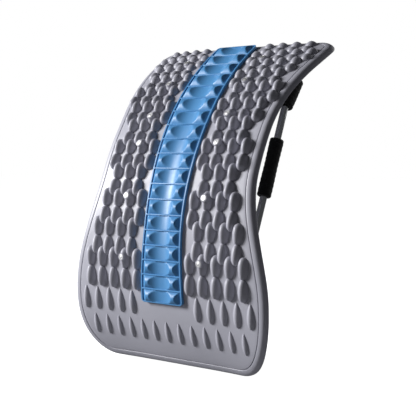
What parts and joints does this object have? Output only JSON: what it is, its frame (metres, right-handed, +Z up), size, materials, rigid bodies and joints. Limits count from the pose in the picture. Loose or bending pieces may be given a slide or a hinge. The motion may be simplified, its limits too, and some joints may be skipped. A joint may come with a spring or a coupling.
{
  "type": "lumbar support",
  "caption": "Arched plastic back support board with massage nubs, a blue spine strip and a folding steel tube frame with foam sleeves.",
  "frame": {"origin": "middle of the flat end face at the board's bottom edge", "axes": "+Z up along the board as it stands against a chair back, nubbed face towards -Y, +X to the right as seen from the front"},
  "size_m": [0.254, 0.1605, 0.3472],
  "materials": {
    "board": "satin moulded grey plastic",
    "insert": "soft gloss blue plastic",
    "tube": "bright plated steel",
    "foam": "black foam",
    "fitting": "black moulded plastic",
    "magnet": "nickel plated",
    "screw": "zinc plated"
  },
  "bodies": {
    "board": {"board_panel": "board", "spine_insert": "insert", "magnet_left_1": "magnet", "magnet_left_2": "magnet", "magnet_left_3": "magnet", "magnet_left_4": "magnet", "magnet_left_5": "magnet", "magnet_left_6": "magnet", "pivot_bracket_left": "fitting", "notch_rack_left": "fitting", "bracket_screw_left_1": "screw", "rack_screw_left_1": "screw", "bracket_screw_left_2": "screw", "rack_screw_left_2": "screw", "magnet_right_1": "magnet", "magnet_right_2": "magnet", "magnet_right_3": "magnet", "magnet_right_4": "magnet", "magnet_right_5": "magnet", "magnet_right_6": "magnet", "pivot_bracket_right": "fitting", "notch_rack_right": "fitting", "bracket_screw_right_1": "screw", "rack_screw_right_1": "screw", "bracket_screw_right_2": "screw", "rack_screw_right_2": "screw"},
    "frame": {"frame_tube": "tube", "foam_sleeve_lower_left": "foam", "foam_sleeve_upper_left": "foam", "tube_cap_left": "fitting", "foam_sleeve_lower_right": "foam", "foam_sleeve_upper_right": "foam", "tube_cap_right": "fitting"}
  },
  "joints": [
    {"name": "frame_hinge", "type": "hinge", "parent": "board", "child": "frame", "pos_m": [0, -0.01217, 0.08745], "axis": [-1, 0, 0], "range_deg": [0, 80]}
  ]
}
